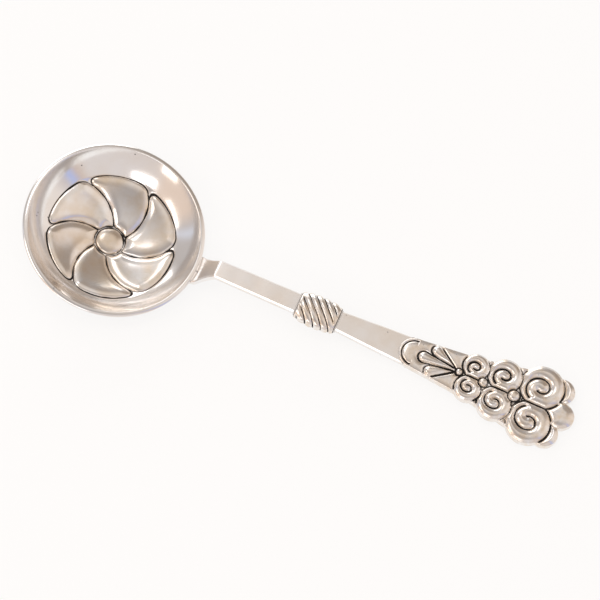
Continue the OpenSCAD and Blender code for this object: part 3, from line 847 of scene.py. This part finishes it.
def silver_finish(name, finish, polish, grain, mottle_mm, wear, marks_mm):
    """Silver whose grooves hold oxide, and whose faces tarnish, by the piece's attributes.

    Polish is the roughness of the bright metal, grain the stretch of its fine marks along each axis and
    marks_mm their depth, mottle_mm the size of the patches of first tarnish, and wear the tarnish's share.
    Metal that is rubbed clean of tarnish is brighter and smoother."""
    material, tree = new_tree(name)
    place = add(tree, "TexCoord", {}, {}).outputs["Object"]
    patches = add(tree, "TexNoise", {}, {"Vector": place, "Scale": per_metre(mottle_mm), "Detail": 3.0})
    clouds = add(tree, "MapRange", {}, {
        "Value": patches.outputs["Fac"], "From Min": 0.3, "From Max": 0.68, "To Max": wear})
    left_on = add(tree, "Attribute", {"attribute_name": "tarnish"}, {}).outputs["Fac"]
    tarnish = add(tree, "Math", {"operation": "MULTIPLY"}, {0: clouds.outputs["Result"], 1: left_on})
    metal = add(tree, "Mix", {"data_type": "RGBA"}, {
        "Factor": tarnish.outputs["Value"], MIX_A: finish.silver, MIX_B: finish.warm_silver})

    # Oxide stays deep in the lines, and is rubbed off in flecks beside them and over worn stretches
    patina = add(tree, "Attribute", {"attribute_name": "patina"}, {}).outputs["Fac"]
    flecks = add(tree, "TexNoise", {}, {"Vector": place, "Scale": per_metre(FLECK_MM), "Detail": 4.0})
    worn = add(tree, "TexNoise", {}, {"Vector": place, "Scale": per_metre(WORN_MM), "Detail": 2.0})
    held = add(tree, "Math", {"operation": "MULTIPLY_ADD"}, {
        0: flecks.outputs["Fac"], 1: FLECK_SHARE, 2: patina})
    rubbed = add(tree, "Math", {"operation": "MULTIPLY_ADD"}, {
        0: worn.outputs["Fac"], 1: -WORN_SHARE, 2: held.outputs["Value"]})
    lines = add(tree, "MapRange", {"interpolation_type": "SMOOTHSTEP"}, {
        "Value": rubbed.outputs["Value"], "From Min": OXIDE_FROM, "From Max": OXIDE_FULL})

    # A few tiny pits from use, dark inside
    cells = add(tree, "TexVoronoi", {}, {"Vector": place, "Scale": per_metre(PIT_SPACING)})
    pits = add(tree, "MapRange", {}, {
        "Value": cells.outputs["Distance"], "From Min": PIT_CORE * PIT_SHARE, "From Max": PIT_SHARE,
        "To Min": PIT_OXIDE, "To Max": 0.0})
    oxide = add(tree, "Math", {"operation": "MAXIMUM"}, {
        0: lines.outputs["Result"], 1: pits.outputs["Result"]}).outputs["Value"]
    tone = add(tree, "Mix", {"data_type": "RGBA"}, {
        "Factor": oxide, MIX_A: metal.outputs[MIX_OUT], MIX_B: finish.oxide})

    # Fine polishing marks, stretched along the way that the piece was rubbed
    stretched = add(tree, "Mapping", {}, {"Vector": place, "Scale": grain})
    marks = add(tree, "TexNoise", {}, {
        "Vector": stretched.outputs["Vector"], "Scale": per_metre(MARK_MM), "Detail": 4.0})
    bright = add(tree, "MapRange", {}, {
        "Value": patches.outputs["Fac"], "From Min": 0.3, "From Max": 0.75,
        "To Min": polish * POLISH_LEAST, "To Max": polish * POLISH_MOST})
    keen = add(tree, "MapRange", {}, {"Value": left_on, "To Min": CLEAN_SHARE, "To Max": 1.0})
    sheen = add(tree, "Math", {"operation": "MULTIPLY"}, {
        0: bright.outputs["Result"], 1: keen.outputs["Result"]})
    rough = add(tree, "Mix", {"data_type": "FLOAT"}, {
        "Factor": oxide, "A": sheen.outputs["Value"], "B": OXIDE_ROUGHNESS})
    shine = add(tree, "MapRange", {}, {"Value": oxide, "To Min": 1.0, "To Max": OXIDE_METALLIC})
    bump = add(tree, "Bump", {}, {"Distance": marks_mm * MM, "Height": marks.outputs["Fac"]})
    shader = add(tree, "BsdfPrincipled", {}, {
        "Base Color": tone.outputs[MIX_OUT], "Metallic": shine.outputs["Result"],
        "Roughness": rough.outputs["Result"], "Normal": bump.outputs["Normal"]})
    add(tree, "OutputMaterial", {}, {"Surface": shader.outputs["BSDF"]})
    return material


def raised_silver(finish):
    """Sterling silver raised with hammers and burnished: bright, with soft clouds and round marks."""
    return silver_finish(
        "sterling_silver_raised_and_burnished", finish, polish=0.17, grain=(1, 1, 1), mottle_mm=8, wear=1.0,
        marks_mm=0.005)


def forged_silver(finish):
    """Sterling silver forged and drawn with abrasive along its length: a satin of long fine lines."""
    return silver_finish(
        "sterling_silver_forged_and_drawn", finish, polish=0.2, grain=(0.12, 1, 1), mottle_mm=9, wear=0.5,
        marks_mm=0.004)


def cast_silver(finish):
    """Sterling silver cast, chased and burnished on its raised forms: bright swells, black lines."""
    return silver_finish(
        "sterling_silver_cast_and_chased", finish, polish=0.2, grain=(1, 1, 1), mottle_mm=2.5, wear=0.9,
        marks_mm=0.008)


def solder_finish(finish):
    """Silver solder as it flowed: greyer than the silver, with tiny pits that dull it."""
    material, tree = new_tree("silver_solder_flowed")
    place = add(tree, "TexCoord", {}, {}).outputs["Object"]
    pits = add(tree, "TexNoise", {}, {"Vector": place, "Scale": per_metre(SOLDER_PIT_MM), "Detail": 3.0})
    rough = add(tree, "MapRange", {}, {"Value": pits.outputs["Fac"], "To Min": 0.2, "To Max": 0.5})
    tone = add(tree, "Mix", {"data_type": "RGBA"}, {
        "Factor": pits.outputs["Fac"], MIX_A: finish.solder, MIX_B: finish.silver})
    bump = add(tree, "Bump", {}, {
        "Strength": 0.3, "Distance": SOLDER_PIT_DEPTH * MM, "Height": pits.outputs["Fac"]})
    shader = add(tree, "BsdfPrincipled", {}, {
        "Base Color": tone.outputs[MIX_OUT], "Metallic": 1.0,
        "Roughness": rough.outputs["Result"], "Normal": bump.outputs["Normal"]})
    add(tree, "OutputMaterial", {}, {"Surface": shader.outputs["BSDF"]})
    return material


# Stage

# Half of the floor's side, and its gap under the spoon, in millimetres
FLOOR_HALF = 1500.0
FLOOR_DROP = 0.05
# Share of the floor's white that is its own, and takes no shadow
FLOOR_OWN_LIGHT = 0.8
# Point on the spoon, and the place in the image where the camera puts it
ANCHOR_MM = (-0.07, 0.0, 8.0)
ANCHOR_PX = (300.03, 308.95)
# Tones of the room's walls by their bearing in degrees, where 0 is past the terminal and 90 behind the spoon
WALLS = (
    (-180, "C4BEBC"), (-172, "DCDFEA"), (-164, "CAC3C1"), (-150, "E9D6C8"), (-112, "E9D6C8"),
    (-96, "DFD7D4"), (-26, "E2DCDA"), (-18, "D6C2B2"), (-11, "B4C4F4"), (-4, "D2CACA"), (8, "EEE6E0"),
    (38, "F2E8E0"), (50, "E4D8D0"), (57, "A4988E"), (78, "A4988E"), (90, "A8A29E"), (104, "C4BEBA"),
    (118, "E0DCDA"), (146, "E4E0DE"), (158, "C1BCBA"), (180, "C4BEBC"),
)
# Tones of the ceiling towards the camera and away from it, the reach of the blend between them along Y, and
# the heights between which the walls pass into it, all on a room of radius 1
CEILING_FRONT, CEILING_BACK = "AEA8A6", "E2DAD3"
CEILING_NEAR, CEILING_FAR = -0.26, 0.24
CEILING_FROM, CEILING_TO = 0.75, 0.92
# Distance of the lamps in metres, and the lamps by name: bearing and height in degrees, width and height in
# metres, tint, and whether metal mirrors them
LAMP_DISTANCE = 1.1
LAMPS = (
    ("back_window", 125, 18, 1.0, 0.65, "FFFFFF", True),
    ("skylight", 127, 62, 0.34, 0.27, "F6F8FF", True),
    ("front_skylight", -148, 50, 0.5, 0.42, "FFFBF4", True),
    ("front_window", -117, 9, 0.32, 0.26, "FFFBF4", True),
    ("front_strip", -92, 38, 0.5, 0.25, "FFFFFF", True),
    ("camera_softbox", -67, 77, 0.75, 0.75, "FFFFFF", False),
)


def lay_floor(stage):
    """Flat pale sheet just under the spoon, part of whose white is its own to the camera and to mirrors."""
    corner = np.array([[-1, -1, 0], [1, -1, 0], [1, 1, 0], [-1, 1, 0]]) * FLOOR_HALF * MM
    mesh = bpy.data.meshes.new("floor")
    mesh.from_pydata(corner - np.array([0, 0, FLOOR_DROP * MM]), [], [(0, 1, 2, 3)])
    material, tree = new_tree("matt_paper_sweep")
    paper = add(tree, "BsdfDiffuse", {}, {"Color": stage.floor, "Roughness": 0.5})
    glow = add(tree, "Emission", {}, {"Color": (1, 1, 1, 1), "Strength": 1.0})
    path = add(tree, "LightPath", {}, {}).outputs
    seen = path["Is Camera Ray"]
    for mirrored in ("Is Glossy Ray", "Is Transmission Ray"):
        seen = add(tree, "Math", {"operation": "MAXIMUM"}, {0: seen, 1: path[mirrored]}).outputs["Value"]
    share = add(tree, "Math", {"operation": "MULTIPLY"}, {0: seen, 1: FLOOR_OWN_LIGHT})
    mix = add(tree, "MixShader", {}, {
        0: share.outputs["Value"], 1: paper.outputs["BSDF"], 2: glow.outputs["Emission"]})
    add(tree, "OutputMaterial", {}, {"Surface": mix.outputs["Shader"]})
    mesh.materials.append(material)
    floor = bpy.data.objects.new("floor", mesh)
    bpy.context.collection.objects.link(floor)


def light_stage(scene, stage):
    """Room whose pale walls change in tone with their bearing, under a ceiling that is darker towards the
    camera, with soft rectangular lamps that face the spoon."""
    world = bpy.data.worlds.new("soft_room")
    world.use_nodes = True
    tree = world.node_tree
    tree.nodes.clear()
    way = add(tree, "TexCoord", {}, {}).outputs["Generated"]
    axes = add(tree, "SeparateXYZ", {}, {"Vector": way}).outputs
    bearing = add(tree, "Math", {"operation": "ARCTAN2"}, {0: axes["Y"], 1: axes["X"]})
    turn = add(tree, "MapRange", {}, {
        "Value": bearing.outputs["Value"], "From Min": -math.pi, "From Max": math.pi})
    walls = add(tree, "ValToRGB", {}, {"Fac": turn.outputs["Result"]})
    stops = walls.color_ramp.elements
    stops[0].color, stops[1].color = linear(WALLS[0][1]), linear(WALLS[-1][1])
    for degrees, tint in WALLS[1:-1]:
        stops.new((degrees + 180) / 360).color = linear(tint)
    up = add(tree, "MapRange", {"interpolation_type": "SMOOTHSTEP"}, {
        "Value": axes["Z"], "From Min": CEILING_FROM, "From Max": CEILING_TO})
    behind = add(tree, "MapRange", {}, {
        "Value": axes["Y"], "From Min": CEILING_NEAR, "From Max": CEILING_FAR})
    ceiling = add(tree, "Mix", {"data_type": "RGBA"}, {
        "Factor": behind.outputs["Result"], MIX_A: linear(CEILING_FRONT), MIX_B: linear(CEILING_BACK)})
    room = add(tree, "Mix", {"data_type": "RGBA"}, {
        "Factor": up.outputs["Result"], MIX_A: walls.outputs["Color"], MIX_B: ceiling.outputs[MIX_OUT]})
    back = add(tree, "Background", {}, {"Color": room.outputs[MIX_OUT]})
    add(tree, "OutputWorld", {}, {"Surface": back.outputs["Background"]})
    scene.world = world

    for name, bearing_deg, lift_deg, width, height, tint, mirrored in LAMPS:
        lamp = bpy.data.lights.new(name, "AREA")
        lamp.shape = "RECTANGLE"
        lamp.size, lamp.size_y = width, height
        # Power at which the lamp's face is as bright as the lamp level
        lamp.energy = stage.lamp_level * math.pi * width * height
        lamp.color = linear(tint)[:3]
        turn_rad, lift_rad = math.radians(bearing_deg), math.radians(lift_deg)
        level = math.cos(lift_rad)
        way_to = Vector((level * math.cos(turn_rad), level * math.sin(turn_rad), math.sin(lift_rad)))
        holder = bpy.data.objects.new(name, lamp)
        holder.location = way_to * LAMP_DISTANCE
        holder.rotation_euler = way_to.to_track_quat("Z", "Y").to_euler()
        holder.visible_glossy = mirrored
        bpy.context.collection.objects.link(holder)


def aim_camera(scene, stage):
    """Camera that looks down at the spoon so that the anchor point falls on its place in the image."""
    turn, lift = stage.camera_turn, stage.camera_lift
    right = Vector((math.cos(turn), math.sin(turn), 0))
    back = Vector((math.cos(lift) * math.sin(turn), -math.cos(lift) * math.cos(turn), math.sin(lift)))
    up = back.cross(right)
    shift_x = (IMAGE_PX / 2 - ANCHOR_PX[0]) / stage.px_per_mm
    shift_y = (ANCHOR_PX[1] - IMAGE_PX / 2) / stage.px_per_mm
    aim = (Vector(ANCHOR_MM) + right * shift_x + up * shift_y) * MM
    lens = bpy.data.cameras.new("camera")
    lens.sensor_width = SENSOR_MM
    lens.lens = stage.px_per_mm * stage.camera_distance / MM / IMAGE_PX * SENSOR_MM
    camera = bpy.data.objects.new("camera", lens)
    camera.matrix_world = Matrix.Translation(aim + back * stage.camera_distance) @ Matrix(
        (right, up, back)).transposed().to_4x4()
    bpy.context.collection.objects.link(camera)
    scene.camera = camera


# Operators and panel

def mount(piece, node):
    """Seats a finished piece on the frame in place of its solid."""
    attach(piece, "root")
    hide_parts(node)


class SPOON_OT_bowl(bpy.types.Operator):
    """Make the raised bowl with its whirling rosette"""

    bl_idname = "spoon.bowl"
    bl_label = "Bowl"

    def execute(self, context):
        s = spoon_layout(context.scene.spoon_sizes)
        metal = raised_silver(context.scene.spoon_finish)
        points, patina, tarnish = bowl_surface(s)
        mount(lay_piece("chased_bowl", points, patina, metal, tarnish), "bowl")
        return {"FINISHED"}


class SPOON_OT_stem(bpy.types.Operator):
    """Make the flat stem with its bent neck"""

    bl_idname = "spoon.stem"
    bl_label = "Stem"

    def execute(self, context):
        s = spoon_layout(context.scene.spoon_sizes)
        metal = forged_silver(context.scene.spoon_finish)
        points = stem_surface(s)
        mount(lay_piece("bent_stem", points, 0.0, metal, crease=STEM_CREASE), "stem")
        return {"FINISHED"}


class SPOON_OT_ornaments(bpy.types.Operator):
    """Make the gadrooned collar and the scrolled terminal"""

    bl_idname = "spoon.ornaments"
    bl_label = "Collar and terminal"

    def execute(self, context):
        s = spoon_layout(context.scene.spoon_sizes)
        metal = cast_silver(context.scene.spoon_finish)
        points, patina = collar_surface(s)
        mount(lay_piece("gadrooned_collar", points, patina, metal), "collar")
        points, patina = terminal_surface(s)
        mount(lay_piece("scrolled_terminal", points, patina, metal), "terminal")
        return {"FINISHED"}


class SPOON_OT_solder(bpy.types.Operator):
    """Give the solder at the joints its finish"""

    bl_idname = "spoon.solder"
    bl_label = "Solder"

    def execute(self, context):
        metal = solder_finish(context.scene.spoon_finish)
        for name in ("bowl_solder", "collar_solder", "terminal_solder"):
            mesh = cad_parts[name].data
            mesh.materials.clear()
            mesh.materials.append(metal)
        return {"FINISHED"}


class SPOON_OT_stage(bpy.types.Operator):
    """Set the pale floor, the soft lamps and the camera"""

    bl_idname = "spoon.stage"
    bl_label = "Stage"

    def execute(self, context):
        stage = context.scene.spoon_stage
        lay_floor(stage)
        light_stage(context.scene, stage)
        aim_camera(context.scene, stage)
        context.scene.view_settings.view_transform = "Standard"
        return {"FINISHED"}


class SPOON_PT_panel(bpy.types.Panel):
    """Buttons for the spoon's pieces and stage"""

    bl_label = "Serving spoon"
    bl_idname = "SPOON_PT_panel"
    bl_space_type = "VIEW_3D"
    bl_region_type = "UI"
    bl_category = "Spoon"

    def draw(self, context):
        for operator in OPERATORS:
            self.layout.operator(operator.bl_idname)
        for group in (getattr(context.scene, label) for label in SETTINGS):
            for name in group.bl_rna.properties.keys():
                if name not in ("rna_type", "name"):
                    self.layout.prop(group, name)


OPERATORS = (SPOON_OT_bowl, SPOON_OT_stem, SPOON_OT_ornaments, SPOON_OT_solder, SPOON_OT_stage)
SETTINGS = {"spoon_sizes": SpoonSizes, "spoon_finish": SpoonFinish, "spoon_stage": SpoonStage}
CLASSES = tuple(SETTINGS.values()) + OPERATORS + (SPOON_PT_panel,)


def register():
    """Registers the classes and hangs their settings on the scene."""
    for cls in CLASSES:
        bpy.utils.register_class(cls)
    for label, group in SETTINGS.items():
        setattr(bpy.types.Scene, label, bpy.props.PointerProperty(type=group))


def unregister():
    """Takes the settings off the scene and the classes out."""
    for label in SETTINGS:
        delattr(bpy.types.Scene, label)
    for cls in reversed(CLASSES):
        bpy.utils.unregister_class(cls)


def main():
    """Builds the pieces and the stage."""
    register()
    bpy.ops.spoon.bowl()
    bpy.ops.spoon.stem()
    bpy.ops.spoon.ornaments()
    bpy.ops.spoon.solder()
    bpy.ops.spoon.stage()


if __name__ == "__main__":
    main()
